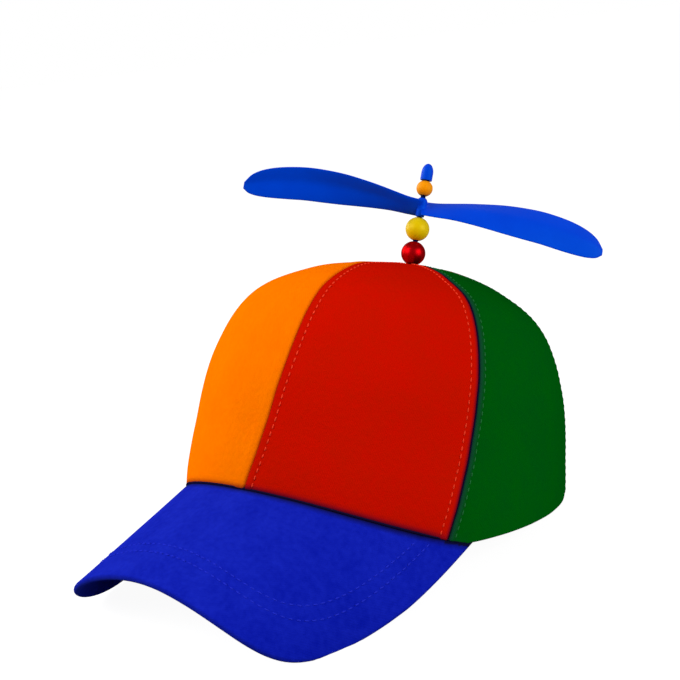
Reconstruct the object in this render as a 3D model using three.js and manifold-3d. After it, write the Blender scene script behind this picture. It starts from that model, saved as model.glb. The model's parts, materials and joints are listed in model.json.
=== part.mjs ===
// A six-panel cap with an arched peak and a two-blade propeller that spins on a stem at its top.
// Millimetres, +Z up. The peak points towards -Y and the wearer's left is +X.
// The cap rests on the peak's two low sides and on the back of its rim, with its front rim raised.
import * as THREE from 'three';
import { mergeVertices } from 'three/addons/utils/BufferGeometryUtils.js';
import Module from 'manifold-3d';

const wasm = await Module();
wasm.setup();

// Crown
const crownHalfWidth = 82;
const crownFrontReach = 96.5;
const crownBackReach = 99.5;
const crownHeight = 114;
const crownTopSetback = 9;
const crownTopToRight = 1;
const crownTopHole = 2.2;
const clothWall = 1.6;
const seamGap = 0.36;
const rimTilt = 13.5;

// Radius of the wall as a share of the plain oval, every 15 degrees from the rim to the top
const frontProfile = [0.96, 0.985, 1.04, 1.085, 1.05, 1, 0.988];
const sideProfile = [1, 1.02, 1.09, 1.11, 1.04, 1, 0.988];
const backProfile = [1.02, 1.005, 1.025, 1.065, 1.07, 1.025, 0.988];

// Each seam: degrees round from the front at the rim, and degrees of bow half way up
const seams = {
  front: { turn: 3, bow: 9 },
  frontLeft: { turn: 66, bow: 5.5 },
  backLeft: { turn: 128, bow: 0 },
  back: { turn: 180, bow: 0 },
  backRight: { turn: 232, bow: 0 },
  frontRight: { turn: 294, bow: -5.5 },
};

// Peak
const peakHalfTurn = 73;
const peakLength = 57.2;
const peakThickness = 2.8;
const peakEndSteepness = 65.24;
const peakSlope = 23.5;
const peakCornerPower = 3;
const peakFrontPower = 2.85;
const peakCurl = 1.4;
const peakCurlPower = 4;
const peakCurlStart = 30;
const peakCurlRun = 80;
const peakEndWidth = 1;
const sewnGap = 0.4;

// Stem, beads and tip, stacked along the stem's axis from the crown's top
const stemRadius = 1.2;
const stemLean = 3.2;
const stemLeanTurn = 41;
const stemHeadRadius = 9;
const stemHeadThickness = 1.6;
const restGap = 0.3;
const boreGap = 0.3;
const redBeadRadius = 5.8;
const yellowBeadRadius = 5.7;
const orangeBeadRadius = 3.9;
const tipRadius = 2.85;
const tipLength = 8.4;
const tipSocketDepth = 4;

// Propeller
const hubRadius = 2.9;
const hubHeight = 9.6;
const hubDomeHeight = 2.4;
const bladeMidHeight = 4.2;
const bladeLength = 86;
const bladeTurn = 45;
const bladePitch = 58;
const bladeWidth = 17.4;
const bladeThickness = 1.8;
const bladeRise = 5;
const spinGap = 0.35;

// Blade tables: place along the blade, half width, thickness and rise as shares of the sizes above
const bladeTable = [
  { along: 0, width: 0.46, thickness: 1, rise: 0 },
  { along: 0.08, width: 0.48, thickness: 1, rise: 0.05 },
  { along: 0.16, width: 0.54, thickness: 0.95, rise: 0.18 },
  { along: 0.25, width: 0.65, thickness: 0.9, rise: 0.28 },
  { along: 0.35, width: 0.78, thickness: 0.85, rise: 0.34 },
  { along: 0.45, width: 0.9, thickness: 0.8, rise: 0.36 },
  { along: 0.55, width: 0.97, thickness: 0.75, rise: 0.33 },
  { along: 0.65, width: 1, thickness: 0.7, rise: 0.25 },
  { along: 0.74, width: 1, thickness: 0.65, rise: 0.06 },
  { along: 0.82, width: 0.96, thickness: 0.6, rise: -0.16 },
  { along: 0.88, width: 0.88, thickness: 0.6, rise: -0.36 },
  { along: 0.93, width: 0.75, thickness: 0.6, rise: -0.56 },
  { along: 0.97, width: 0.54, thickness: 0.55, rise: -0.76 },
  { along: 1, width: 0.2, thickness: 0.5, rise: -0.96 },
];

// Fineness of the faceted surfaces
const panelColumns = 12;
const panelRows = 13;
const peakColumns = 28;
const peakRows = 7;
const rowCrowding = 1.25;
const arcSteps = 24;
const halvings = 24;
const beadSides = 20;
const beadSteps = 10;
const domeSteps = 5;
const sectionSides = 8;
const normalStep = 0.5;
const mergeDistance = 0.0001;

const radians = THREE.MathUtils.degToRad;
const degrees = THREE.MathUtils.radToDeg;
const upwards = new THREE.Vector3(0, 0, 1);

// A value from a table of evenly spaced shares, smooth between them and level at the far end
function shareAt(shares, place) {
  const last = shares.length - 1;
  const position = place * last;
  const i = Math.min(Math.max(Math.floor(position), 0), last - 1);
  const here = shares[i];
  const next = shares[i + 1];
  const before = i > 0 ? shares[i - 1] : 2 * here - next;
  const after = i + 1 < last ? shares[i + 2] : here;
  const t = position - i;
  if (t < 0) {
    return here + ((next - before) / 2) * t;
  }
  const startSlope = (next - before) / 2;
  const endSlope = (after - here) / 2;
  const squared = t * t;
  const cubed = squared * t;
  return (
    here * (2 * cubed - 3 * squared + 1) +
    startSlope * (cubed - 2 * squared + t) +
    next * (3 * squared - 2 * cubed) +
    endSlope * (cubed - squared)
  );
}

// The value between two limits at which a test first holds, by halving
function solveBetween(start, end, isPast) {
  let low = start;
  let high = end;
  for (let i = 0; i < halvings; i += 1) {
    const middle = (low + high) / 2;
    if (isPast(middle)) {
      high = middle;
    } else {
      low = middle;
    }
  }
  return (low + high) / 2;
}

// A point of the crown's outer face, in the crown's frame: turn from the front, climb from the rim
function wallPoint(turn, climb) {
  const sideways = Math.sin(radians(turn));
  const forwards = Math.cos(radians(turn));
  const toFront = forwards > 0;
  const place = climb / 90;
  const endShare = shareAt(toFront ? frontProfile : backProfile, place);
  const share = sideways ** 2 * shareAt(sideProfile, place) + forwards ** 2 * endShare;
  const reach = share * Math.cos(radians(climb));
  const length = toFront ? crownFrontReach : crownBackReach;
  return new THREE.Vector3(
    crownHalfWidth * sideways * reach - crownTopToRight * (1 - reach),
    -length * forwards * reach + crownTopSetback * (1 - reach),
    crownHeight * share * Math.sin(radians(climb)),
  );
}

// The same point moved in along the wall's normal
function clothPoint(turn, climb, depth) {
  const point = wallPoint(turn, climb);
  if (depth === 0) {
    return point;
  }
  const round = wallPoint(turn + normalStep, climb).sub(wallPoint(turn - normalStep, climb));
  const upward = wallPoint(turn, climb + normalStep).sub(wallPoint(turn, climb - normalStep));
  const outward = round.cross(upward).normalize();
  return point.addScaledVector(outward, -depth);
}

// Tips a point back about the wearer's left-right line: the front rises
function tippedBack(point, angle) {
  return point.clone().applyAxisAngle(new THREE.Vector3(1, 0, 0), -radians(angle));
}

function toRimFrame(point) {
  return tippedBack(point, rimTilt);
}

function toCrownFrame(point) {
  return tippedBack(point, -rimTilt);
}

// Climb at which the wall, at a given depth in the cloth, stands a gap above a surface
function climbTo(turn, depth, surfaceHeight) {
  return solveBetween(-25, 50, (climb) => {
    const point = toRimFrame(clothPoint(turn, climb, depth));
    return point.z > surfaceHeight(point);
  });
}

// Places where the peak meets the rim, all in the rim's frame
const flatRim = () => 0;
const rimFront = toRimFrame(wallPoint(0, climbTo(0, 0, flatRim)));
const peakCorner = toRimFrame(wallPoint(peakHalfTurn, climbTo(peakHalfTurn, 0, flatRim)));
const slopeTangent = Math.tan(radians(peakSlope));
const slopeCosine = Math.cos(radians(peakSlope));
const peakArchRadius = peakCorner.x / Math.sin(radians(peakEndSteepness));
const peakHalfArc = peakArchRadius * radians(peakEndSteepness);
const cornerRun = (peakCorner.y - rimFront.y) / slopeCosine;

function archDrop(x) {
  const limited = Math.min(Math.abs(x), peakArchRadius);
  return peakArchRadius - Math.sqrt(peakArchRadius ** 2 - limited ** 2);
}

const archTop = archDrop(peakCorner.x) + (rimFront.y - peakCorner.y) * slopeTangent;

function archHeight(point) {
  return archTop - archDrop(point.x) + (point.y - rimFront.y) * slopeTangent;
}

// Height that the wall's lower edge keeps above: the peak at the front, the rim's plane elsewhere
function rimHeight(turn) {
  const fromFront = Math.abs(turn > 180 ? turn - 360 : turn);
  if (fromFront < peakHalfTurn) {
    return (point) => archHeight(point) + sewnGap;
  }
  return () => sewnGap;
}

function seamTurn(seam, height) {
  return seam.turn + seam.bow * 4 * height * (1 - height);
}

// A closed solid from two facing grids of points, outer[row][column] and inner[row][column]
function shellGeometry(outer, inner) {
  const rows = outer.length;
  const columns = outer[0].length;
  const positions = [];
  const indices = [];
  for (const grid of [outer, inner]) {
    for (const row of grid) {
      for (const point of row) {
        positions.push(point.x, point.y, point.z);
      }
    }
  }
  const innerStart = rows * columns;
  const at = (row, column) => row * columns + column;
  const addQuad = (a, b, c, d) => indices.push(a, b, c, a, c, d);
  for (let r = 0; r + 1 < rows; r += 1) {
    for (let c = 0; c + 1 < columns; c += 1) {
      addQuad(at(r, c), at(r, c + 1), at(r + 1, c + 1), at(r + 1, c));
      addQuad(
        innerStart + at(r, c),
        innerStart + at(r + 1, c),
        innerStart + at(r + 1, c + 1),
        innerStart + at(r, c + 1),
      );
    }
    addQuad(at(r, 0), at(r + 1, 0), innerStart + at(r + 1, 0), innerStart + at(r, 0));
    const end = columns - 1;
    addQuad(at(r, end), innerStart + at(r, end), innerStart + at(r + 1, end), at(r + 1, end));
  }
  for (let c = 0; c + 1 < columns; c += 1) {
    addQuad(at(0, c), innerStart + at(0, c), innerStart + at(0, c + 1), at(0, c + 1));
    const top = rows - 1;
    addQuad(at(top, c), at(top, c + 1), innerStart + at(top, c + 1), innerStart + at(top, c));
  }
  return closedGeometry(positions, indices);
}

function closedGeometry(positions, indices) {
  const geometry = new THREE.BufferGeometry();
  geometry.setAttribute('position', new THREE.Float32BufferAttribute(positions, 3));
  geometry.setIndex(indices);
  geometry.computeVertexNormals();
  return geometry;
}

// One cloth panel between two seams
function panelGeometry(firstSeam, secondSeam) {
  const topClimb = 90 - degrees(Math.asin(crownTopHole / crownHalfWidth));
  const faces = [0, clothWall].map((depth) => {
    const grid = [];
    const rimClimbs = [];
    for (let r = 0; r <= panelRows; r += 1) {
      const height = 1 - (1 - r / panelRows) ** rowCrowding;
      const row = [];
      for (let c = 0; c <= panelColumns; c += 1) {
        const share = c / panelColumns;
        const start = seamTurn(firstSeam, height);
        const end = seamTurn(secondSeam, height);
        const radius = crownHalfWidth * Math.cos(radians(topClimb * height));
        const trim = degrees(Math.asin(seamGap / 2 / radius));
        const turn = start + (end - start) * share + trim * (1 - 2 * share);
        if (r === 0) {
          rimClimbs.push(climbTo(turn, depth, rimHeight(turn)));
        }
        const climb = rimClimbs[c] + (topClimb - rimClimbs[c]) * height;
        row.push(clothPoint(turn, climb, depth));
      }
      grid.push(row);
    }
    return grid;
  });
  return shellGeometry(faces[0], faces[1]);
}

// A point of the peak's upper face: arc across from the middle, run forwards from the rim's front
function peakPoint(arc, run) {
  const curlShare = THREE.MathUtils.clamp((run + peakCurlStart) / peakCurlRun, 0, 1);
  let across = 0;
  let down = 0;
  for (let i = 0; i < arcSteps; i += 1) {
    const place = ((i + 0.5) / arcSteps) * Math.abs(arc);
    const curl = peakCurl * curlShare * (place / peakHalfArc) ** peakCurlPower;
    const angle = (place / peakArchRadius) * (1 + curl);
    across += (Math.cos(angle) * Math.abs(arc)) / arcSteps;
    down += (Math.sin(angle) * Math.abs(arc)) / arcSteps;
  }
  return new THREE.Vector3(
    Math.sign(arc) * across,
    rimFront.y - run * slopeCosine,
    archTop - down - run * Math.sin(radians(peakSlope)),
  );
}

// Run of the peak at which it passes under the rim's outer line, for an arc across
function rimRun(arc) {
  const wanted = peakArchRadius * Math.sin(Math.abs(arc) / peakArchRadius);
  const rimPoint = (turn) => toRimFrame(wallPoint(turn, climbTo(turn, 0, archHeight)));
  const turn = solveBetween(0, peakHalfTurn, (candidate) => rimPoint(candidate).x > wanted);
  return (rimFront.y - rimPoint(turn).y) / slopeCosine;
}

// The peak: its back edge lies under the crown's wall and its front edge follows a rounded outline
function peakGeometry() {
  const upper = [];
  const lower = [];
  const runs = [];
  for (let c = 0; c <= peakColumns; c += 1) {
    const share = Math.sin(((c / peakColumns) * 2 - 1) * (Math.PI / 2));
    const arc = share * peakHalfArc;
    const outline = Math.max(1 - Math.abs(share) ** peakCornerPower, 0) ** (1 / peakFrontPower);
    const back = rimRun(arc) - clothWall * (1 - share ** peakCurlPower);
    const front = Math.max(-cornerRun + (peakLength + cornerRun) * outline, back + peakEndWidth);
    runs.push({ arc, back, front });
  }
  for (let r = 0; r <= peakRows; r += 1) {
    const upperRow = [];
    const lowerRow = [];
    for (const { arc, back, front } of runs) {
      const run = back + (front - back) * (r / peakRows);
      const point = peakPoint(arc, run);
      const sideways = peakPoint(arc + normalStep, run).sub(peakPoint(arc - normalStep, run));
      const forwards = peakPoint(arc, run + normalStep).sub(peakPoint(arc, run - normalStep));
      const upward = forwards.cross(sideways).normalize();
      upperRow.push(toCrownFrame(point));
      lowerRow.push(toCrownFrame(point.clone().addScaledVector(upward, -peakThickness)));
    }
    upper.push(upperRow);
    lower.push(lowerRow);
  }
  return shellGeometry(lower, upper);
}

// Round pieces, turned about the stem's axis from a list of [radius, height] points
function turned(profile) {
  const points = profile.map(([radius, height]) => new THREE.Vector2(radius, height));
  const geometry = new THREE.LatheGeometry(points, beadSides).rotateX(Math.PI / 2);
  geometry.deleteAttribute('normal');
  geometry.deleteAttribute('uv');
  const merged = mergeVertices(geometry, mergeDistance);
  merged.computeVertexNormals();
  return merged;
}

function beadGeometry(radius, centre) {
  const bore = stemRadius + boreGap;
  const start = Math.asin(bore / radius);
  const profile = [];
  for (let i = 0; i <= beadSteps; i += 1) {
    const angle = Math.PI - start - ((Math.PI - 2 * start) * i) / beadSteps;
    profile.push([radius * Math.sin(angle), centre + radius * Math.cos(angle)]);
  }
  profile.push(profile[0]);
  return turned(profile);
}

// A dome's outline, from its foot to its top on the axis
function domeProfile(radius, bottom, height) {
  const points = [];
  for (let i = 0; i < domeSteps; i += 1) {
    const angle = (Math.PI / 2) * (i / domeSteps);
    points.push([radius * Math.cos(angle), bottom + height * Math.sin(angle)]);
  }
  points.push([0, bottom + height]);
  return points;
}

// Heights along the stem, from the crown's top
const redCentre = restGap + redBeadRadius;
const yellowCentre = redCentre + redBeadRadius + restGap + yellowBeadRadius;
const hubBottom = yellowCentre + yellowBeadRadius + restGap;
const orangeCentre = hubBottom + hubHeight + restGap + orangeBeadRadius;
const tipBottom = orangeCentre + orangeBeadRadius + restGap;

function tipGeometry() {
  const bore = stemRadius + boreGap;
  const socketTop = tipBottom + tipSocketDepth;
  return turned([
    [0, socketTop],
    [bore, socketTop],
    [bore, tipBottom],
    [tipRadius, tipBottom],
    ...domeProfile(tipRadius, tipBottom + tipLength - tipRadius, tipRadius),
  ]);
}

// The stem: a rod from a flat head under the crown's top to the socket of the tip
function stemGeometry(headTop) {
  const headBottom = headTop - stemHeadThickness;
  const rodTop = tipBottom + tipSocketDepth - restGap;
  return turned([
    [0, headBottom],
    [stemHeadRadius, headBottom],
    [stemHeadRadius, headTop],
    [stemRadius, headTop],
    [stemRadius, rodTop],
    [0, rodTop],
  ]);
}

// One blade, from the hub's axis outwards, as a loft of pitched lens sections
function bladeGeometry(turnDegrees) {
  const outward = new THREE.Vector3(1, 0, 0).applyAxisAngle(upwards, radians(turnDegrees));
  const tangent = upwards.clone().cross(outward);
  const chord = tangent.clone().multiplyScalar(Math.cos(radians(bladePitch)));
  chord.addScaledVector(upwards, Math.sin(radians(bladePitch)));
  const normal = outward.clone().cross(chord);
  const positions = [];
  const indices = [];
  for (const { along, width, thickness, rise } of bladeTable) {
    const centre = outward.clone().multiplyScalar(along * bladeLength);
    centre.addScaledVector(upwards, hubBottom + bladeMidHeight + rise * bladeRise);
    for (let i = 0; i < sectionSides; i += 1) {
      const angle = (i / sectionSides) * Math.PI * 2;
      const point = centre.clone();
      point.addScaledVector(chord, (Math.cos(angle) * width * bladeWidth) / 2);
      point.addScaledVector(normal, (Math.sin(angle) * thickness * bladeThickness) / 2);
      positions.push(point.x, point.y, point.z);
    }
  }
  const sections = bladeTable.length;
  for (let s = 0; s + 1 < sections; s += 1) {
    for (let i = 0; i < sectionSides; i += 1) {
      const next = (i + 1) % sectionSides;
      const a = s * sectionSides + i;
      const b = s * sectionSides + next;
      const c = a + sectionSides;
      const d = b + sectionSides;
      indices.push(a, b, d, a, d, c);
    }
  }
  const lastRing = (sections - 1) * sectionSides;
  for (let i = 1; i + 1 < sectionSides; i += 1) {
    indices.push(0, i + 1, i);
    indices.push(lastRing, lastRing + i, lastRing + i + 1);
  }
  return closedGeometry(positions, indices);
}

function toSolid(geometry) {
  const plain = geometry.clone();
  plain.deleteAttribute('normal');
  plain.deleteAttribute('uv');
  const merged = mergeVertices(plain, mergeDistance);
  return new wasm.Manifold(
    new wasm.Mesh({
      numProp: 3,
      vertProperties: new Float32Array(merged.attributes.position.array),
      triVerts: new Uint32Array(merged.index.array),
    }),
  );
}

function fromSolid(solid) {
  const mesh = solid.getMesh();
  return closedGeometry(Array.from(mesh.vertProperties), Array.from(mesh.triVerts));
}

function hubProfile() {
  const shoulder = hubBottom + hubHeight - hubDomeHeight;
  return [[0, hubBottom], [hubRadius, hubBottom], ...domeProfile(hubRadius, shoulder, hubDomeHeight)];
}

function boreProfile() {
  const bore = stemRadius + spinGap;
  const beyond = 1;
  return [
    [0, hubBottom - beyond],
    [bore, hubBottom - beyond],
    [bore, hubBottom + hubHeight + beyond],
    [0, hubBottom + hubHeight + beyond],
  ];
}

function propellerGeometry() {
  let body = toSolid(turned(hubProfile()));
  for (const turnDegrees of [bladeTurn, bladeTurn + 180]) {
    body = body.add(toSolid(bladeGeometry(turnDegrees)));
  }
  return fromSolid(body.subtract(toSolid(turned(boreProfile()))));
}

// Materials
const looks = {
  orangeCloth: { color: 0xff7d00, roughness: 0.9, metalness: 0 },
  redCloth: { color: 0xc11000, roughness: 0.9, metalness: 0 },
  greenCloth: { color: 0x005208, roughness: 0.9, metalness: 0 },
  blueCloth: { color: 0x141fb4, roughness: 0.9, metalness: 0 },
  bluePlastic: { color: 0x0046d7, roughness: 0.4, metalness: 0 },
  redGloss: { color: 0xb0060c, roughness: 0.15, metalness: 0.3 },
  yellowSatin: { color: 0xdcbe00, roughness: 0.35, metalness: 0 },
  orangeSatin: { color: 0xff8c00, roughness: 0.4, metalness: 0 },
};

function namedMesh(name, geometry, look) {
  const mesh = new THREE.Mesh(geometry, new THREE.MeshStandardMaterial(looks[look]));
  mesh.name = name;
  return mesh;
}

function buildPanels() {
  const rightward = (seam) => ({ turn: seam.turn - 360, bow: seam.bow });
  return [
    namedMesh('panel_front_left', panelGeometry(seams.front, seams.frontLeft), 'redCloth'),
    namedMesh('panel_side_left', panelGeometry(seams.frontLeft, seams.backLeft), 'greenCloth'),
    namedMesh('panel_back_left', panelGeometry(seams.backLeft, seams.back), 'orangeCloth'),
    namedMesh('panel_back_right', panelGeometry(seams.back, seams.backRight), 'blueCloth'),
    namedMesh('panel_side_right', panelGeometry(seams.backRight, seams.frontRight), 'redCloth'),
    namedMesh('panel_front_right', panelGeometry(rightward(seams.frontRight), seams.front), 'orangeCloth'),
  ];
}

// The stem's group: its origin is on the crown's top, and its axis leans a little to the wearer's left
function buildStem() {
  const group = new THREE.Group();
  const leanDirection = new THREE.Vector3(1, 0, 0).applyAxisAngle(upwards, radians(stemLeanTurn));
  group.position.copy(wallPoint(0, 90));
  const turnAxis = upwards.clone().cross(leanDirection);
  group.quaternion.setFromAxisAngle(turnAxis, radians(stemLean));
  group.updateMatrixWorld(true);
  const headTop = underTop(group) - restGap;
  group.add(namedMesh('stem', stemGeometry(headTop), 'bluePlastic'));
  group.add(namedMesh('bead_red', beadGeometry(redBeadRadius, redCentre), 'redGloss'));
  group.add(namedMesh('bead_yellow', beadGeometry(yellowBeadRadius, yellowCentre), 'yellowSatin'));
  group.add(namedMesh('propeller', propellerGeometry(), 'bluePlastic'));
  group.add(namedMesh('bead_orange', beadGeometry(orangeBeadRadius, orangeCentre), 'orangeSatin'));
  group.add(namedMesh('stem_tip', tipGeometry(), 'bluePlastic'));
  return group;
}

// Height in the stem's frame of the lowest point of the crown's inner face above the stem's head
function underTop(stemGroup) {
  const climb = 90 - degrees(Math.asin(stemHeadRadius / crownHalfWidth));
  const turnStep = 10;
  let lowest = 0;
  for (let turn = 0; turn < 360; turn += turnStep) {
    const point = stemGroup.worldToLocal(clothPoint(turn, climb, clothWall));
    lowest = Math.min(lowest, point.z);
  }
  return lowest;
}

function lowestPoint(meshes, names, lean) {
  let lowest = Infinity;
  for (const mesh of meshes.filter((candidate) => names.includes(candidate.name))) {
    const position = mesh.geometry.attributes.position;
    for (let i = 0; i < position.count; i += 1) {
      const point = new THREE.Vector3().fromBufferAttribute(position, i);
      lowest = Math.min(lowest, tippedBack(point, lean).z);
    }
  }
  return lowest;
}

// Lean at which the peak's lowest points and the back of the rim both touch the floor
function restingLean(meshes) {
  return solveBetween(0, 60, (lean) => {
    const peakLow = lowestPoint(meshes, ['peak'], lean);
    return peakLow >= lowestPoint(meshes, ['panel_back_left', 'panel_back_right'], lean);
  });
}

function buildCap() {
  const sewn = [...buildPanels(), namedMesh('peak', peakGeometry(), 'blueCloth')];
  const leaning = new THREE.Group();
  leaning.add(...sewn, buildStem());
  leaning.rotation.x = -radians(restingLean(sewn));
  const cap = new THREE.Group();
  cap.add(leaning);
  cap.updateMatrixWorld(true);
  const box = new THREE.Box3().setFromObject(cap, true);
  const middle = box.getCenter(new THREE.Vector3());
  leaning.position.set(-middle.x, -middle.y, -box.min.z);
  cap.updateMatrixWorld(true);
  return cap;
}

export default buildCap();
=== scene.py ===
# A six-panel cotton cap with an arched peak and a propeller on a beaded stem, in a plain studio.
# Metres, +Z up. The peak points towards -Y and the wearer's left is +X.
import bisect
import json
import math
import random

import bmesh
import bpy
from mathutils import Matrix, Vector, kdtree, noise


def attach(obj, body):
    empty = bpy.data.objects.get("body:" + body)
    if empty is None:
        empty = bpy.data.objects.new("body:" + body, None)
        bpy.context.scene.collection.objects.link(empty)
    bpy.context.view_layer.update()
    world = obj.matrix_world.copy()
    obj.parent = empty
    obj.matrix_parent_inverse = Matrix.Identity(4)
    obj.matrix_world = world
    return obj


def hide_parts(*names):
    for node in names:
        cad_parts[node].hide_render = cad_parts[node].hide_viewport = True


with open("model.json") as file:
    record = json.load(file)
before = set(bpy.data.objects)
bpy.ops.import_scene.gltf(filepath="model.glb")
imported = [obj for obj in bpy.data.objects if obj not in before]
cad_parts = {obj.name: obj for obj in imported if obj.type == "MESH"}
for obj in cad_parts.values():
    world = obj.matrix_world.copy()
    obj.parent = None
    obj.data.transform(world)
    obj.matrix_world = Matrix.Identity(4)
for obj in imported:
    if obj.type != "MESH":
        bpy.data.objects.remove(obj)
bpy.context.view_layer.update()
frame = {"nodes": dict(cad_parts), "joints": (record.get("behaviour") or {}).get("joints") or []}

# Crown
CROWN_HALF_WIDTH = 0.082
CROWN_FRONT_REACH = 0.0965
CROWN_BACK_REACH = 0.0995
CROWN_HEIGHT = 0.114
CROWN_TOP_SETBACK = 0.009
CROWN_TOP_TO_RIGHT = 0.001
CROWN_TOP_HOLE = 0.0022
CLOTH_WALL = 0.0016
RIM_TILT = 13.5
PANEL_LENGTH = 0.165

# Climbs, in degrees, between which the wall's lower edge is looked for
LOWEST_CLIMB = -25
HIGHEST_CLIMB = 50

# Radius of the wall as a share of the plain oval, every 15 degrees from the rim to the top
FRONT_PROFILE = (0.937, 0.967, 1.035, 1.085, 1.05, 1, 0.988)
SIDE_PROFILE = (1.012, 1.026, 1.09, 1.11, 1.04, 1, 0.988)
BACK_PROFILE = (0.995, 0.992, 1.022, 1.065, 1.07, 1.025, 0.988)

# Each seam: degrees round from the front at the rim, and degrees of bow half way up
SEAMS = {
    "front": {"turn": 3, "bow": 9},
    "front_left": {"turn": 65, "bow": 5.9},
    "back_left": {"turn": 128, "bow": 0},
    "back": {"turn": 180, "bow": 0},
    "back_right": {"turn": 232, "bow": 0},
    "front_right": {"turn": 294, "bow": -5.5},
}

# Each panel runs from its first seam round to its second. Its pair of shade numbers says how dark the
# painted shade gets where the cloth turns down into each of them, and "rows" how far from each its
# topstitching runs.
PANELS = {
    "panel_front_left": {
        "seams": ("front", "front_left"),
        "cloth": "red_cloth",
        "painted_seam_shade": (0.12, 1),
        "rows": (0.0042, 0.0038),
    },
    "panel_side_left": {
        "seams": ("front_left", "back_left"),
        "cloth": "green_cloth",
        "painted_seam_shade": (0.9, 0.6),
        "rows": (0.0029, 0.0042),
    },
    "panel_back_left": {
        "seams": ("back_left", "back"),
        "cloth": "orange_cloth",
        "painted_seam_shade": (0.5, 0.4),
        "rows": None,
    },
    "panel_back_right": {
        "seams": ("back", "back_right"),
        "cloth": "blue_cloth",
        "painted_seam_shade": (0.6, 0.6),
        "rows": (0.0042, 0.0042),
    },
    "panel_side_right": {
        "seams": ("back_right", "front_right"),
        "cloth": "red_cloth",
        "painted_seam_shade": (0.6, 0.6),
        "rows": (0.0042, 0.0042),
    },
    "panel_front_right": {
        "seams": ("front_right", "front"),
        "cloth": "orange_cloth",
        "painted_seam_shade": (0.4, 0.1),
        "rows": None,
    },
}

# Stitches: each one's length is drawn between two shares, and its slant strays a little
STITCH_LENGTH = 0.0022
STITCH_LENGTH_SHARES = (0.9, 1.08)
STITCH_SLANT = 0.05
STITCH_PITCH = 0.0032
STITCH_SIDES = 8
STITCH_BANDS = 5
THREAD_RADIUS = 0.00032
THREAD_PROUD = 0.00016
ROW_SAMPLES = 90
ROW_START = 0.006
ROW_END = 0.975

# How the hidden seam allowance lifts the cloth, and a row of stitches pulls it in
ALLOWANCE_RAISE = 0.0003
ALLOWANCE_RISE = (0.0002, 0.0012)
ALLOWANCE_END = (0.0035, 0.0075)
ALLOWANCE_BEFORE_ROW = 0.0006
ALLOWANCE_PAST_ROW = 0.0008
ROW_DIP = 0.00022
ROW_DIP_WIDTH = 0.00045

# Seams and the joint of crown and peak
SEAM_WOBBLE = 0.22
SEAM_WOBBLE_WAVES = 14
SEAM_WOBBLE_START = 0.05
SEAM_CORD_RADIUS = 0.0004
SEAM_CORD_DEPTH = 0.0002
SEAM_CORD_START = 0.004
SEAM_CORD_LENGTH = 0.992
SEAM_SAMPLES = 110
JOINT_RADIUS = 0.0006
JOINT_DEPTH = 0.0003
JOINT_RAISE = 0.0004
JOINT_SHARE = 0.985
JOINT_SAMPLES = 120
CORD_SIDES = 8
CORD_END = 0.3
CORD_TAPER = 14

# How far the painted shade in the seams and along the joint reaches into the cloth, and where the joint's
# fades, in degrees from the front
SEAM_SHADE_REACH = {
    "red_cloth": 0.0024,
    "orange_cloth": 0.0024,
    "green_cloth": 0.0036,
    "blue_cloth": 0.0024,
}
JOINT_SHADE_REACH = 0.0034
JOINT_SHADE_FADE = (58, 71)

# The cloth's soft unevenness: waves to the metre, and their heights
SWELL_WAVES = 28
SWELL_HEIGHT = 0.00035
RIPPLE_WAVES = 85
RIPPLE_HEIGHT = 0.00012

# Peak, with the places of the rim's front and of the peak's rear corner on the rim's plane
PEAK_HALF_TURN = 73
RIM_FRONT = Vector((0, -0.09083, 0))
PEAK_CORNER = Vector((0.07764, -0.02864, 0))
PEAK_LENGTH = 0.0562
PEAK_THICKNESS = 0.0028
PEAK_END_STEEPNESS = 65.24
PEAK_SLOPE = 23.5
PEAK_CORNER_POWER = 3.234
PEAK_FRONT_POWER = 2.679
PEAK_END_WIDTH = 0.001
PEAK_TUCK = 0.0022
PEAK_TUCK_LIMIT = 0.006
PEAK_SWELL = 0.6
SEWN_SINK = 0.00035
SEWN_EDGE_SHARPNESS = 6
REST_LIFT = 0.0003
CORNER_CLEARANCE = 0.00005

# The extra curl of the peak's two sides, which grows towards the front and the corners
PEAK_CURL_RIGHT = {"amount": 1.570, "power": 2.852}
PEAK_CURL_LEFT = {"amount": 2.277, "power": 2.436}
PEAK_CURL_START = 0.025
PEAK_CURL_RUN = 0.1386

# Painted shade on the peak along its joint with the crown and along its edge: how dark it gets, and how
# far it reaches
PEAK_JOINT_SHADE_REACH = 0.0022
PEAK_JOINT_SHADE_FADE = 0.5
PEAK_JOINT_SHADE_FADE_SHARES = (0.6, 0.95)
EDGE_SHADE = 0.25
EDGE_SHADE_FADE = (0.0004, 0.0013)

# The peak's two rows of stitches
PEAK_ROWS = (
    {"half_arc": 0.0835, "reach": 0.040, "corner": 3.8, "front": 3.0},
    {"half_arc": 0.0790, "reach": 0.035, "corner": 4.4, "front": 2.6},
)
PEAK_ROW_DIP = 0.0002
PEAK_ROW_DIP_WIDTH = 0.0007
PEAK_ROW_MARGIN = 0.002
PEAK_ROW_SHARE = 0.9985
PEAK_ROW_CLEARANCE = 0.001
PEAK_ROW_SAMPLES = 260

# Stem, beads and tip, stacked along the stem's axis from the crown's top
STEM_RADIUS = 0.0012
STEM_LEAN = 3.2
STEM_LEAN_TURN = 41
STEM_HEAD_RADIUS = 0.009
STEM_HEAD_THICKNESS = 0.0016
REST_GAP = 0.0003
BORE_GAP = 0.0003
EASED_EDGE = 0.0003
MOULDED_EDGE = 0.0004
RED_BEAD_RADIUS = 0.0058
YELLOW_BEAD_RADIUS = 0.0057
ORANGE_BEAD_RADIUS = 0.0039
TIP_RADIUS = 0.00285
TIP_LENGTH = 0.0082
TIP_DOME_HEIGHT = 0.0046
TIP_DROP = 0.0003
TIP_SOCKET_DEPTH = 0.004

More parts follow.
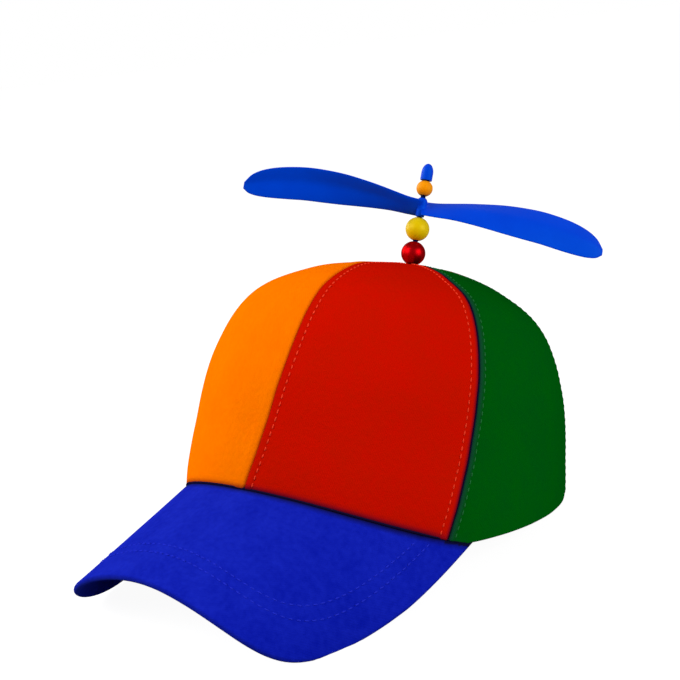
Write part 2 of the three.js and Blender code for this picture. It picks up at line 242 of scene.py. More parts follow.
# Propeller hub
HUB_RADIUS = 0.0025
HUB_FOOT_RADIUS = 0.0021
HUB_HEIGHT = 0.0096
HUB_FOOT_BELOW_BLADES = 0.001
HUB_FLARE_HEIGHT = 0.002
HUB_DOME_HEIGHT = 0.0024
LEAST_LAND = 0.0001
SPIN_GAP = 0.00035

# Blades: their pitch turns from root to tip, and their width is as it shows at BLADE_PITCH
BLADES = (
    {"turn": 45, "length": 0.090, "width": 1.14},
    {"turn": 225, "length": 0.085, "width": 1},
)
BLADE_MID_HEIGHT = 0.0042
BLADE_PITCH = 58
BLADE_WIDTH = 0.0174
BLADE_THICKNESS = 0.0018
BLADE_RISE = 0.005
BLADE_CAMBER = 0.0020
BLADE_CREASE = 0.1
BLADE_ROOT_PITCH = 40
BLADE_TIP_PITCH = 71
BLADE_TWIST_END = 0.9
BLADE_FULLNESS = 0.85
BLADE_CREASE_SOFTNESS = 0.02
BLADE_CAMBER_START = (0.03, 0.3)
BLADE_SIDES = 40
BLADE_SECTIONS = 60
BLADE_CROWDING = 1.5

# Places along a blade, with its width, thickness and rise as shares of the sizes above
BLADE_TABLE = (
    {"along": 0, "width": 0.46, "thickness": 1, "rise": 0},
    {"along": 0.08, "width": 0.48, "thickness": 1, "rise": 0.05},
    {"along": 0.16, "width": 0.54, "thickness": 0.95, "rise": 0.18},
    {"along": 0.25, "width": 0.65, "thickness": 0.9, "rise": 0.28},
    {"along": 0.35, "width": 0.78, "thickness": 0.85, "rise": 0.34},
    {"along": 0.45, "width": 0.9, "thickness": 0.8, "rise": 0.36},
    {"along": 0.55, "width": 0.97, "thickness": 0.75, "rise": 0.33},
    {"along": 0.65, "width": 1, "thickness": 0.7, "rise": 0.25},
    {"along": 0.74, "width": 1, "thickness": 0.65, "rise": 0.06},
    {"along": 0.82, "width": 0.96, "thickness": 0.6, "rise": -0.16},
    {"along": 0.88, "width": 0.88, "thickness": 0.6, "rise": -0.36},
    {"along": 0.93, "width": 0.75, "thickness": 0.6, "rise": -0.56},
    {"along": 0.97, "width": 0.54, "thickness": 0.55, "rise": -0.76},
    {"along": 1, "width": 0.2, "thickness": 0.5, "rise": -0.96},
)

# Heights along the stem, from the crown's top
RED_CENTRE = REST_GAP + RED_BEAD_RADIUS
YELLOW_CENTRE = RED_CENTRE + RED_BEAD_RADIUS + REST_GAP + YELLOW_BEAD_RADIUS
HUB_BOTTOM = YELLOW_CENTRE + YELLOW_BEAD_RADIUS + REST_GAP
ORANGE_CENTRE = HUB_BOTTOM + HUB_HEIGHT + REST_GAP + ORANGE_BEAD_RADIUS
TIP_BOTTOM = ORANGE_CENTRE + ORANGE_BEAD_RADIUS + REST_GAP


def sine(degrees):
    return math.sin(math.radians(degrees))


def cosine(degrees):
    return math.cos(math.radians(degrees))


def smooth(value, start, end):
    """0 before start, 1 after end, and an S curve between them."""
    t = min(max((value - start) / (end - start), 0), 1)
    return t * t * (3 - 2 * t)


def curved_between(here, following, start_slope, end_slope, t):
    """A value on the smooth curve between two others, from the slopes at both."""
    return (
        here * (2 * t**3 - 3 * t**2 + 1)
        + start_slope * (t**3 - 2 * t**2 + t)
        + following * (3 * t**2 - 2 * t**3)
        + end_slope * (t**3 - t**2)
    )


def share_at(shares, place):
    """A value from evenly spaced shares, smooth between them and level at the far end."""
    last = len(shares) - 1
    position = place * last
    i = min(max(math.floor(position), 0), last - 1)
    here = shares[i]
    following = shares[i + 1]
    before = shares[i - 1] if i > 0 else 2 * here - following
    after = shares[i + 2] if i + 1 < last else here
    t = position - i
    start_slope = (following - before) / 2
    if t < 0:
        return here + start_slope * t
    return curved_between(here, following, start_slope, (after - here) / 2, t)


def solve_between(low, high, is_past):
    """The value at which a test first holds, by halving."""
    halvings = 24
    for _ in range(halvings):
        middle = (low + high) / 2
        if is_past(middle):
            high = middle
        else:
            low = middle
    return (low + high) / 2


# The crown's wall

def wall_point(turn, climb):
    """A point of the crown's outer face in the crown's frame: turned from the front, up from the rim."""
    sideways = sine(turn)
    forwards = cosine(turn)
    place = climb / 90
    end_share = share_at(FRONT_PROFILE if forwards > 0 else BACK_PROFILE, place)
    share = sideways**2 * share_at(SIDE_PROFILE, place) + forwards**2 * end_share
    reach = share * cosine(climb)
    length = CROWN_FRONT_REACH if forwards > 0 else CROWN_BACK_REACH
    return Vector((
        CROWN_HALF_WIDTH * sideways * reach - CROWN_TOP_TO_RIGHT * (1 - reach),
        -length * forwards * reach + CROWN_TOP_SETBACK * (1 - reach),
        CROWN_HEIGHT * share * sine(climb),
    ))


def wall_normal(turn, climb):
    step = 0.5
    around = wall_point(turn + step, climb) - wall_point(turn - step, climb)
    upward = wall_point(turn, climb + step) - wall_point(turn, climb - step)
    return around.cross(upward).normalized()


def to_rim_frame(point):
    return Matrix.Rotation(math.radians(-RIM_TILT), 3, "X") @ point


def to_crown_frame(point):
    return Matrix.Rotation(math.radians(RIM_TILT), 3, "X") @ point


def climb_to(turn, depth, surface_height):
    """The climb at which the wall, at a depth in the cloth, stands on a surface."""
    def above(climb):
        point = to_rim_frame(wall_point(turn, climb) - wall_normal(turn, climb) * depth)
        return point.z > surface_height(point)

    return solve_between(LOWEST_CLIMB, HIGHEST_CLIMB, above)


PEAK_ARCH_RADIUS = PEAK_CORNER.x / sine(PEAK_END_STEEPNESS)
PEAK_HALF_ARC = PEAK_ARCH_RADIUS * math.radians(PEAK_END_STEEPNESS)
CORNER_RUN = (PEAK_CORNER.y - RIM_FRONT.y) / cosine(PEAK_SLOPE)
SLOPE_TANGENT = math.tan(math.radians(PEAK_SLOPE))


def arch_drop(x):
    limited = min(abs(x), PEAK_ARCH_RADIUS)
    return PEAK_ARCH_RADIUS - math.sqrt(PEAK_ARCH_RADIUS**2 - limited**2)


ARCH_TOP = arch_drop(PEAK_CORNER.x) + (RIM_FRONT.y - PEAK_CORNER.y) * SLOPE_TANGENT


def arch_height(point):
    return ARCH_TOP - arch_drop(point.x) + (point.y - RIM_FRONT.y) * SLOPE_TANGENT


def over_peak_height(point):
    return max(arch_height(point) - SEWN_SINK, REST_LIFT)


def rim_climb(turn):
    """The climb of the wall's lower edge: over the peak at the front, on the rim's plane elsewhere."""
    from_front = abs(turn - 360 if turn > 180 else turn)
    if from_front < PEAK_HALF_TURN:
        return climb_to(turn, CLOTH_WALL / 2, over_peak_height)
    return climb_to(turn, CLOTH_WALL / 2, lambda point: REST_LIFT)


TOP_CLIMB = 90 - math.degrees(math.asin(CROWN_TOP_HOLE / CROWN_HALF_WIDTH))


def seam_turn(seam, height):
    """Where a seam runs: its bow, and the small wobble of sewing by hand."""
    place = Vector((height * SEAM_WOBBLE_WAVES, seam["bow"], seam["turn"] % 360))
    wobble = SEAM_WOBBLE * noise.noise(place) * smooth(height, 0, SEAM_WOBBLE_START)
    return seam["turn"] + seam["bow"] * 4 * height * (1 - height) + wobble


# Where the crown stands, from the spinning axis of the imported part

spin_joint = frame["joints"][0]
spin_axis = Vector(spin_joint["axis"]).normalized()
spin_point = Vector(spin_joint["pos_m"])
lean_direction = Vector((cosine(STEM_LEAN_TURN), sine(STEM_LEAN_TURN), 0))
stem_in_crown = lean_direction * sine(STEM_LEAN) + Vector((0, 0, cosine(STEM_LEAN)))
crown_lean = math.atan2(spin_axis.y, spin_axis.z) - math.atan2(stem_in_crown.y, stem_in_crown.z)
crown_turn = Matrix.Rotation(-crown_lean, 4, "X")
crown_top = spin_point - spin_axis * (HUB_BOTTOM + HUB_HEIGHT / 2)
crown_place = Matrix.Translation(crown_top - crown_turn @ wall_point(0, 90)) @ crown_turn
stem_lean_axis = Vector((0, 0, 1)).cross(lean_direction)
stem_place = (
    crown_place
    @ Matrix.Translation(wall_point(0, 90))
    @ Matrix.Rotation(math.radians(STEM_LEAN), 4, stem_lean_axis)
)


def stood_up(point, normal):
    """A point of the crown and its normal, moved to where the crown stands."""
    return crown_place @ point, crown_turn.to_3x3() @ normal


# Materials

def new_material(name):
    material = bpy.data.materials.new(name)
    material.use_nodes = True
    return material, material.node_tree.nodes, material.node_tree.links


def mixed_colour(nodes, links, factor, first, second):
    """A Mix node between two colours or sockets, and its result."""
    mix = nodes.new("ShaderNodeMix")
    mix.data_type = "RGBA"
    links.new(factor, mix.inputs["Factor"])
    for socket, value in ((mix.inputs["A"], first), (mix.inputs["B"], second)):
        if isinstance(value, bpy.types.NodeSocket):
            links.new(value, socket)
        else:
            socket.default_value = (*value, 1)
    return mix.outputs["Result"]


def ranged(nodes, links, source, low, high):
    """A Map Range node from low..high to 0..1, clamped."""
    node = nodes.new("ShaderNodeMapRange")
    links.new(source, node.inputs["Value"])
    node.inputs["From Min"].default_value = low
    node.inputs["From Max"].default_value = high
    return node.outputs["Result"]


def bumped(nodes, links, height, strength, distance):
    node = nodes.new("ShaderNodeBump")
    node.inputs["Strength"].default_value = strength
    node.inputs["Distance"].default_value = distance
    links.new(height, node.inputs["Height"])
    return node


def noise_on(nodes, links, vector, scale, detail):
    node = nodes.new("ShaderNodeTexNoise")
    links.new(vector, node.inputs["Vector"])
    node.inputs["Scale"].default_value = scale
    node.inputs["Detail"].default_value = detail
    return node.outputs["Fac"]


def brushed_cotton(name, base, worn, painted_shade_colour, clouds=0.5, sheen=0.01, sheen_tint=None):
    """Brushed cotton twill: soft mottling, a diagonal weave, and painted shade along the seams, joints
    and edges.
    """
    material, nodes, links = new_material(name)
    shader = nodes["Principled BSDF"]
    place = nodes.new("ShaderNodeTexCoord").outputs["Object"]
    flat = nodes.new("ShaderNodeUVMap").outputs["UV"]
    mottle = noise_on(nodes, links, place, scale=70, detail=3)
    broad = ranged(nodes, links, mottle, low=0.36, high=0.66)
    fibres = noise_on(nodes, links, place, scale=420, detail=4)
    fuzz = ranged(nodes, links, fibres, low=0.3, high=0.7)
    spread = nodes.new("ShaderNodeMath")
    spread.operation = "MULTIPLY"
    links.new(broad, spread.inputs[0])
    spread.inputs[1].default_value = clouds
    speck = nodes.new("ShaderNodeMath")
    speck.operation = "MULTIPLY_ADD"
    links.new(fuzz, speck.inputs[0])
    speck.inputs[1].default_value = 0.5
    links.new(spread.outputs[0], speck.inputs[2])
    brushed = mixed_colour(nodes, links, speck.outputs[0], base, worn)
    painted_shade = nodes.new("ShaderNodeAttribute")
    painted_shade.attribute_name = "painted_shade"
    colour = mixed_colour(nodes, links, painted_shade.outputs["Fac"], brushed, painted_shade_colour)
    links.new(colour, shader.inputs["Base Color"])
    weave = nodes.new("ShaderNodeTexWave")
    weave.bands_direction = "DIAGONAL"
    links.new(flat, weave.inputs["Vector"])
    weave.inputs["Scale"].default_value = 560
    weave.inputs["Distortion"].default_value = 0.6
    weave_bump = bumped(nodes, links, weave.outputs["Fac"], strength=0.35, distance=0.00012)
    fuzz_bump = bumped(nodes, links, fuzz, strength=0.3, distance=0.0004)
    links.new(weave_bump.outputs["Normal"], fuzz_bump.inputs["Normal"])
    links.new(fuzz_bump.outputs["Normal"], shader.inputs["Normal"])
    shader.inputs["Roughness"].default_value = 0.92
    shader.inputs["Specular IOR Level"].default_value = 0.0
    shader.inputs["Sheen Weight"].default_value = sheen
    shader.inputs["Sheen Roughness"].default_value = 0.6
    shader.inputs["Sheen Tint"].default_value = (*(sheen_tint or worn), 1)
    return material


def sewing_thread(name, colour):
    """Twisted thread with a fine slanting ply."""
    material, nodes, links = new_material(name)
    shader = nodes["Principled BSDF"]
    place = nodes.new("ShaderNodeTexCoord").outputs["Object"]
    ply = noise_on(nodes, links, place, scale=2600, detail=2)
    dark = tuple(channel * 0.85 for channel in colour)
    links.new(mixed_colour(nodes, links, ply, dark, colour), shader.inputs["Base Color"])
    shader.inputs["Roughness"].default_value = 0.8
    shader.inputs["Specular IOR Level"].default_value = 0.0
    return material


def moulded_plastic(name, base, deep, roughness, specular, tint):
    """Moulded plastic with a faint flow of tone and a very fine orange-peel skin."""
    material, nodes, links = new_material(name)
    shader = nodes["Principled BSDF"]
    place = nodes.new("ShaderNodeTexCoord").outputs["Object"]
    flow = ranged(nodes, links, noise_on(nodes, links, place, scale=60, detail=2), low=0.3, high=0.75)
    links.new(mixed_colour(nodes, links, flow, base, deep), shader.inputs["Base Color"])
    peel = noise_on(nodes, links, place, scale=700, detail=2)
    skin = bumped(nodes, links, peel, strength=0.12, distance=0.0002)
    links.new(skin.outputs["Normal"], shader.inputs["Normal"])
    shader.inputs["Roughness"].default_value = roughness
    shader.inputs["Specular IOR Level"].default_value = specular
    shader.inputs["Specular Tint"].default_value = (*tint, 1)
    return material


def bead_lacquer(name, base, deep, roughness, metallic, tint):
    """The lacquer of a round bead, laid on a little unevenly."""
    material, nodes, links = new_material(name)
    shader = nodes["Principled BSDF"]
    place = nodes.new("ShaderNodeTexCoord").outputs["Object"]
    cloud = ranged(nodes, links, noise_on(nodes, links, place, scale=260, detail=3), low=0.35, high=0.7)
    links.new(mixed_colour(nodes, links, cloud, base, deep), shader.inputs["Base Color"])
    waviness = noise_on(nodes, links, place, scale=380, detail=2)
    uneven = bumped(nodes, links, waviness, strength=0.06, distance=0.0002)
    links.new(uneven.outputs["Normal"], shader.inputs["Normal"])
    shader.inputs["Roughness"].default_value = roughness
    shader.inputs["Metallic"].default_value = metallic
    shader.inputs["Specular IOR Level"].default_value = 0.5
    shader.inputs["Specular Tint"].default_value = (*tint, 1)
    return material


# In each cloth, the darkest colour is the painted shade that its seams, joints and edges are mixed
# towards.
CLOTHS = {
    "red_cloth": brushed_cotton(
        "red_cotton",
        base=(0.62, 0.0045, 0.0),
        worn=(0.56, 0.0065, 0.0),
        painted_shade_colour=(0.045, 0.002, 0.015),
    ),
    "orange_cloth": brushed_cotton(
        "orange_cotton",
        base=(1.0, 0.195, 0.0),
        worn=(1.0, 0.172, 0.0),
        painted_shade_colour=(0.3, 0.03, 0.004),
    ),
    "green_cloth": brushed_cotton(
        "green_cotton",
        base=(0.0, 0.099, 0.003),
        worn=(0.0, 0.086, 0.005),
        painted_shade_colour=(0.008, 0.055, 0.034),
    ),
    "blue_cloth": brushed_cotton(
        "blue_cotton",
        base=(0.0022, 0.0080, 0.385),
        worn=(0.0075, 0.0185, 0.50),
        painted_shade_colour=(0.004, 0.003, 0.03),
        clouds=0.35,
        sheen=0.1,
        sheen_tint=(0.12, 0.2, 0.6),
    ),
}
# Navy for the seam's cord, and for the joint's cord, whose dark also stands in as a painted shadow line
# under the crown's rim.
NAVY_THREAD = sewing_thread("navy_thread", (0.008, 0.005, 0.03))
THREADS = {
    "red_cloth": sewing_thread("red_thread", (0.95, 0.055, 0.022)),
    "green_cloth": sewing_thread("green_thread", (0.022, 0.175, 0.048)),
    "blue_cloth": sewing_thread("blue_thread", (0.018, 0.032, 0.62)),
}
BLUE_PLASTIC = moulded_plastic(
    "blue_plastic",
    base=(0.0, 0.057, 0.74),
    deep=(0.0, 0.047, 0.67),
    roughness=0.45,
    specular=0.25,
    tint=(0.0, 0.5, 1.0),
)
# The stem is dark navy so that the narrow gaps between the beads, where it shows, take a painted shade.
STEM_PLASTIC = moulded_plastic(
    "stem_plastic",
    base=(0.002, 0.006, 0.06),
    deep=(0.002, 0.004, 0.04),
    roughness=0.4,
    specular=0.3,
    tint=(0.1, 0.3, 1.0),
)
RED_LACQUER = bead_lacquer(
    "red_lacquer",
    base=(0.50, 0.0015, 0.004),
    deep=(0.40, 0.001, 0.003),
    roughness=0.42,
    metallic=0.9,
    tint=(1.0, 0.1, 0.1),
)
YELLOW_LACQUER = bead_lacquer(
    "yellow_lacquer",
    base=(0.84, 0.60, 0.0),
    deep=(0.78, 0.55, 0.0),
    roughness=0.38,
    metallic=0.0,
    tint=(1.0, 0.85, 0.1),
)
ORANGE_LACQUER = bead_lacquer(
    "orange_lacquer",
    base=(1.0, 0.34, 0.0),
    deep=(1.0, 0.31, 0.0),
    roughness=0.5,
    metallic=0.0,
    tint=(1.0, 0.6, 0.05),
)


# Cloth pieces

MERGE_DISTANCE = 0.000002

# Distances from a panel's seams and its rim at which its points lie, first round the rolled edge
ROLL_STEPS = tuple(1 - cosine(22.5 * k) for k in range(5))
WALL_ROLL = CLOTH_WALL / 2
SEAM_STEPS = tuple(WALL_ROLL * step for step in ROLL_STEPS) + (
    0.0011, 0.0016, 0.0021, 0.0025, 0.0028, 0.0031, 0.0034,
    0.0037, 0.0040, 0.0043, 0.0046, 0.0051, 0.0060,
)
RIM_STEPS = tuple(WALL_ROLL * step for step in ROLL_STEPS) + (0.0011, 0.0017, 0.0026)
MIDDLE_COLUMNS = 24
LEAST_MIDDLE = 0.002
MIDDLE_ROWS = 118


def row_heights():
    """Shares of a panel's length at which its rows of points lie, closer near the rim and the top."""
    low = [step / PANEL_LENGTH for step in RIM_STEPS]
    shares = [i / MIDDLE_ROWS for i in range(1, MIDDLE_ROWS)]
    middle = [low[-1] * (1 - share) + (1 - low[-1]) * share for share in shares]
    return low + middle + [1 - height for height in reversed(low)]


ROW_HEIGHTS = row_heights()
COLUMNS = 2 * len(SEAM_STEPS) + MIDDLE_COLUMNS - 2


def rolled(distance, radius):
    """How far a folded edge falls away from the face, near its border."""
    if distance >= radius:
        return 0
    return radius - math.sqrt(radius**2 - (radius - distance) ** 2)


def raised_by_sewing(distance, row):
    """The seam's hidden allowance lifts the cloth, and a row of stitches pulls it in."""
    lift = ALLOWANCE_RAISE * smooth(distance, *ALLOWANCE_RISE)
    if row is None:
        return lift * (1 - smooth(distance, *ALLOWANCE_END))
    dip = ROW_DIP * math.exp(-(((distance - row) / ROW_DIP_WIDTH) ** 2))
    return lift * (1 - smooth(distance, row - ALLOWANCE_BEFORE_ROW, row + ALLOWANCE_PAST_ROW)) - dip


def cloth_wave(point):
    """Soft unevenness of the worn cloth: broad swells and finer ripples."""
    swell = noise.noise(point * SWELL_WAVES)
    ripple = noise.noise(point * RIPPLE_WAVES)
    return SWELL_HEIGHT * swell + RIPPLE_HEIGHT * ripple


def across_places(width):
    """Each column's place across a panel with its distance from the nearer seam, and their scale."""
    scale = min(1, width / (2 * SEAM_STEPS[-1] + LEAST_MIDDLE))
    inner = SEAM_STEPS[-1] * scale
    places = [(step * scale, step) for step in SEAM_STEPS]
    for i in range(1, MIDDLE_COLUMNS):
        place = inner + (width - 2 * inner) * i / MIDDLE_COLUMNS
        places.append((place, min(place, width - place) / scale))
    places += [(width - step * scale, step) for step in reversed(SEAM_STEPS)]
    return places, scale


def panel_width(first, second, height, climb):
    parts = 8
    start = seam_turn(first, height)
    end = seam_turn(second, height)
    turns = [start + (end - start) * i / parts for i in range(parts + 1)]
    points = [wall_point(turn, climb) for turn in turns]
    return sum((b - a).length for a, b in zip(points, points[1:]))


def panel_seams(name):
    first, second = [dict(SEAMS[seam]) for seam in PANELS[name]["seams"]]
    if first["turn"] > second["turn"]:
        first["turn"] -= 360
    return first, second


def finish_piece(bm, name, material):
    """Makes the object, smooth shaded, with its place in its mesh."""
    mesh = bpy.data.meshes.new(name)
    bm.to_mesh(mesh)
    bm.free()
    mesh.polygons.foreach_set("use_smooth", [True] * len(mesh.polygons))
    mesh.materials.append(material)
    piece = bpy.data.objects.new(name, mesh)
    bpy.context.scene.collection.objects.link(piece)
    return piece


def two_faced_sheet(columns, rows, spot):
    """A closed sheet of cloth: spot(column, row) gives its two points, its UV and how much painted shade
    it takes.
    """
    bm = bmesh.new()
    painted_shade_layer = bm.verts.layers.float.new("painted_shade")
    uvs = {}
    for side in (0, 1):
        grid = bmesh.ops.create_grid(bm, x_segments=columns, y_segments=rows, size=0.5)
        for vert in grid["verts"]:
            column = round((vert.co.x + 0.5) * columns)
            row = round((vert.co.y + 0.5) * rows)
            points, uv, painted_shade = spot(column, row)
            vert.co = points[side]
            vert[painted_shade_layer] = painted_shade
            uvs[vert] = uv
        if side == 1:
            faces = list({face for vert in grid["verts"] for face in vert.link_faces})
            bmesh.ops.reverse_faces(bm, faces=faces)
    layer = bm.loops.layers.uv.new("cloth")
    for face in bm.faces:
        for loop in face.loops:
            loop[layer].uv = uvs[loop.vert]
    bmesh.ops.remove_doubles(bm, verts=bm.verts, dist=MERGE_DISTANCE)
    return bm


def plan_panel(name):
    """What every point of a panel is worked out from."""
    first, second = panel_seams(name)
    start_turn = seam_turn(first, 0)
    end_turn = seam_turn(second, 0)
    mid_rim = rim_climb((start_turn + end_turn) / 2)
    return {
        "first": first,
        "second": second,
        "cloth": PANELS[name]["cloth"],
        "painted_seam_shade": PANELS[name]["painted_seam_shade"],
        "rows": PANELS[name]["rows"],
        "start_turn": start_turn,
        "end_turn": end_turn,
        "mid_rim": mid_rim,
        "rim_width": panel_width(first, second, 0, mid_rim),
    }


def rim_turn(plan, place):
    """The turn of the rim below a place across the panel."""
    return plan["start_turn"] + (plan["end_turn"] - plan["start_turn"]) * place / plan["rim_width"]


def width_at(plan, height):
    mean_climb = plan["mid_rim"] + (TOP_CLIMB - plan["mid_rim"]) * height
    return panel_width(plan["first"], plan["second"], height, mean_climb)


def cloth_at(plan, height, width, place, from_seam, scale, low_climb):
    """The cloth's outer face before its folded edges: its point and its normal."""
    from_turn = seam_turn(plan["first"], height)
    turn = from_turn + (seam_turn(plan["second"], height) - from_turn) * place / width
    row = plan["rows"] and plan["rows"][0 if place < width / 2 else 1]
    climb = low_climb + (TOP_CLIMB - low_climb) * height
    point = wall_point(turn, climb)
    normal = wall_normal(turn, climb)
    lift = raised_by_sewing(from_seam, row) * scale + cloth_wave(point)
    return point + normal * lift, normal


def build_panel(name):
    """A cloth panel: a closed shell whose edges are turned in at its seams, its rim and its top."""
    plan = plan_panel(name)
    rim_places, _ = across_places(plan["rim_width"])
    rim_turns = [rim_turn(plan, place) for place, _ in rim_places]
    low_climbs = [rim_climb(turn) for turn in rim_turns]
    from_front = [abs((turn + 180) % 360 - 180) for turn in rim_turns]
    over_peak = [1 - smooth(turn, *JOINT_SHADE_FADE) for turn in from_front]
    layouts = []
    for height in ROW_HEIGHTS:
        width = width_at(plan, height)
        layouts.append((width, *across_places(width)))
    cache = {}

    def spot(column, row):
        if (column, row) in cache:
            return cache[column, row]
        height = ROW_HEIGHTS[row]
        width, places, scale = layouts[row]
        place, from_seam = places[column]
        face, normal = cloth_at(plan, height, width, place, from_seam, scale, low_climbs[column])
        from_end = min(height, 1 - height) * PANEL_LENGTH
        edge = rolled(min(from_seam, from_end), WALL_ROLL)
        outer = crown_place @ (face - normal * edge)
        inner = crown_place @ (face - normal * (CLOTH_WALL - edge))
        # Painted shade: the cloth darkens in the valley of each seam and along its joint over the peak.
        side = plan["painted_seam_shade"][0 if place < width / 2 else 1]
        painted_shade = side * (1 - smooth(from_seam, 0, SEAM_SHADE_REACH[plan["cloth"]]))
        painted_shade = max(painted_shade, over_peak[column] * (1 - smooth(height * PANEL_LENGTH, 0, JOINT_SHADE_REACH)))
        cache[column, row] = ((outer, inner), (place - width / 2, height * PANEL_LENGTH), painted_shade)
        return cache[column, row]

    bm = two_faced_sheet(COLUMNS, len(ROW_HEIGHTS) - 1, spot)
    piece = finish_piece(bm, name + "_cloth", CLOTHS[plan["cloth"]])
    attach(piece, "cap")
    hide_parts(name)


def stitched_row(path, draw):
    """Short stitches, evenly spaced along a path of (point, normal), each a little different."""
    bm = bmesh.new()
    travelled = 0.0
    due = STITCH_PITCH / 2
    for (start, start_normal), (end, end_normal) in zip(path, path[1:]):
        span = (end - start).length
        while travelled + span >= due:
            share = (due - travelled) / span
            normal = start_normal.lerp(end_normal, share).normalized()
            centre = start.lerp(end, share) + normal * THREAD_PROUD
            slant = normal.cross(end - start).normalized() * draw.gauss(0, STITCH_SLANT)
            along = (end - start).normalized() + slant
            along = (along - normal * along.dot(normal)).normalized()
            half_length = STITCH_LENGTH / 2 * draw.uniform(*STITCH_LENGTH_SHARES)
            axes = Matrix((
                normal.cross(along) * THREAD_RADIUS,
                along * half_length,
                normal * THREAD_RADIUS,
            )).transposed().to_4x4()
            bmesh.ops.create_uvsphere(
                bm, u_segments=STITCH_SIDES, v_segments=STITCH_BANDS, radius=1,
                matrix=Matrix.Translation(centre) @ axes,
            )
            due += STITCH_PITCH
        travelled += span
    return bm


def gathered(rows):
    """One mesh from several rows of stitches."""
    bm = bmesh.new()
    for row in rows:
        mesh = bpy.data.meshes.new("row")
        row.to_mesh(mesh)
        row.free()
        bm.from_mesh(mesh)
        bpy.data.meshes.remove(mesh)
    return bm


def finish_stitches(bm, name, cloth):
    bmesh.ops.recalc_face_normals(bm, faces=bm.faces)
    piece = finish_piece(bm, name, THREADS[cloth])
    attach(piece, "cap")


def build_panel_stitches(name):
    """The row of topstitching up each side of a panel."""
    plan = plan_panel(name)
    if plan["rows"] is None:
        return
    draw = random.Random(name)
    rows = []
    for side, offset in enumerate(plan["rows"]):
        path = []
        low_place = offset if side == 0 else plan["rim_width"] - offset
        low_climb = rim_climb(rim_turn(plan, low_place))
        for i in range(ROW_SAMPLES + 1):
            height = ROW_START + (ROW_END - ROW_START) * i / ROW_SAMPLES
            width = width_at(plan, height)
            _, scale = across_places(width)
            place = offset * scale if side == 0 else width - offset * scale
            point, normal = cloth_at(plan, height, width, place, offset, scale, low_climb)
            path.append(stood_up(point, normal))
        rows.append(stitched_row(path, draw))
    finish_stitches(gathered(rows), name + "_stitches", plan["cloth"])


def build_cord(name, path, radius):
    """A thin navy cord drawn out ring by ring along a path of (point, normal), slimmer at its ends."""
    rings = []
    last = len(path) - 1
    turns = [math.tau * k / CORD_SIDES for k in range(CORD_SIDES)]
    for i, (point, normal) in enumerate(path):
        here = radius * (CORD_END + (1 - CORD_END) * smooth(min(i, last - i), 0, CORD_TAPER))
        along = (path[min(i + 1, last)][0] - path[max(i - 1, 0)][0]).normalized()
        across = along.cross(normal).normalized()
        upright = across.cross(along)
        rings.append([point + (across * math.cos(a) + upright * math.sin(a)) * here for a in turns])
    piece = finish_piece(drawn_out(rings), name, NAVY_THREAD)
    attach(piece, "cap")


def drawn_out(rings):
    """A closed solid from a row of rings: the first is a capped circle, drawn out through the others."""
    bm = bmesh.new()
    ring = bmesh.ops.create_circle(bm, cap_ends=True, segments=len(rings[0]), radius=1)["verts"]
    for vert, place in zip(ring, rings[0]):
        vert.co = place
    edges = list(bm.edges)
    for places in rings[1:]:
        made = bmesh.ops.extrude_edge_only(bm, edges=edges)["geom"]
        edges = [item for item in made if isinstance(item, bmesh.types.BMEdge)]
        added = {item for item in made if isinstance(item, bmesh.types.BMVert)}
        partners = {}
        for vert in added:
            for edge in vert.link_edges:
                other = edge.other_vert(vert)
                if other not in added:
                    partners[other] = vert
        ring = [partners[vert] for vert in ring]
        for vert, place in zip(ring, places):
            vert.co = place
    bmesh.ops.contextual_create(bm, geom=ring)
    bmesh.ops.recalc_face_normals(bm, faces=bm.faces)
    return bm


def cord_spot(turn, climb, depth, raised=0.0):
    """A point down in the wall's face, for a cord, and the wall's normal there."""
    point = wall_point(turn, climb)
    normal = wall_normal(turn, climb)
    point += normal * (cloth_wave(point) - depth) + Vector((0, 0, raised))
    return stood_up(point, normal)


def build_seam_cord(seam_name):
    """The dark thread line down in the seam between two panels."""
    seam = SEAMS[seam_name]
    low_climb = rim_climb(seam_turn(seam, 0))
    path = []
    for i in range(SEAM_SAMPLES + 1):
        height = SEAM_CORD_START + SEAM_CORD_LENGTH * i / SEAM_SAMPLES
        climb = low_climb + (TOP_CLIMB - low_climb) * height
        path.append(cord_spot(seam_turn(seam, height), climb, SEAM_CORD_DEPTH))
    build_cord(seam_name + "_seam_cord", path, SEAM_CORD_RADIUS)


def build_peak_joint():
    """A navy cord where the crown is sewn to the peak: the seam's thread, and a painted shadow line in
    the gap under the rim.
    """
    path = []
    for i in range(JOINT_SAMPLES + 1):
        turn = PEAK_HALF_TURN * (2 * i / JOINT_SAMPLES - 1) * JOINT_SHARE
        path.append(cord_spot(turn, rim_climb(turn), JOINT_DEPTH, JOINT_RAISE))
    build_cord("peak_joint_shadow_cord", path, JOINT_RADIUS)


# Peak

def peak_point(arc, run):
    """A point of the peak's upper face in the rim's frame, from its arc across and its run forwards."""
    bend = PEAK_CURL_LEFT if arc > 0 else PEAK_CURL_RIGHT
    curl_share = min(max((run + PEAK_CURL_START) / PEAK_CURL_RUN, 0), 1)
    across = 0
    down = 0
    steps = 24
    for i in range(steps):
        place = (i + 0.5) / steps * abs(arc)
        curl = bend["amount"] * curl_share * (place / PEAK_HALF_ARC) ** bend["power"]
        angle = place / PEAK_ARCH_RADIUS * (1 + curl)
        across += math.cos(angle) * abs(arc) / steps
        down += math.sin(angle) * abs(arc) / steps
    return Vector((
        math.copysign(across, arc),
        RIM_FRONT.y - run * cosine(PEAK_SLOPE),
        ARCH_TOP - down - run * sine(PEAK_SLOPE),
    ))


def peak_normal(arc, run):
    step = 0.0005
    sideways = peak_point(arc + step, run) - peak_point(arc - step, run)
    forwards = peak_point(arc, run + step) - peak_point(arc, run - step)
    return forwards.cross(sideways).normalized()


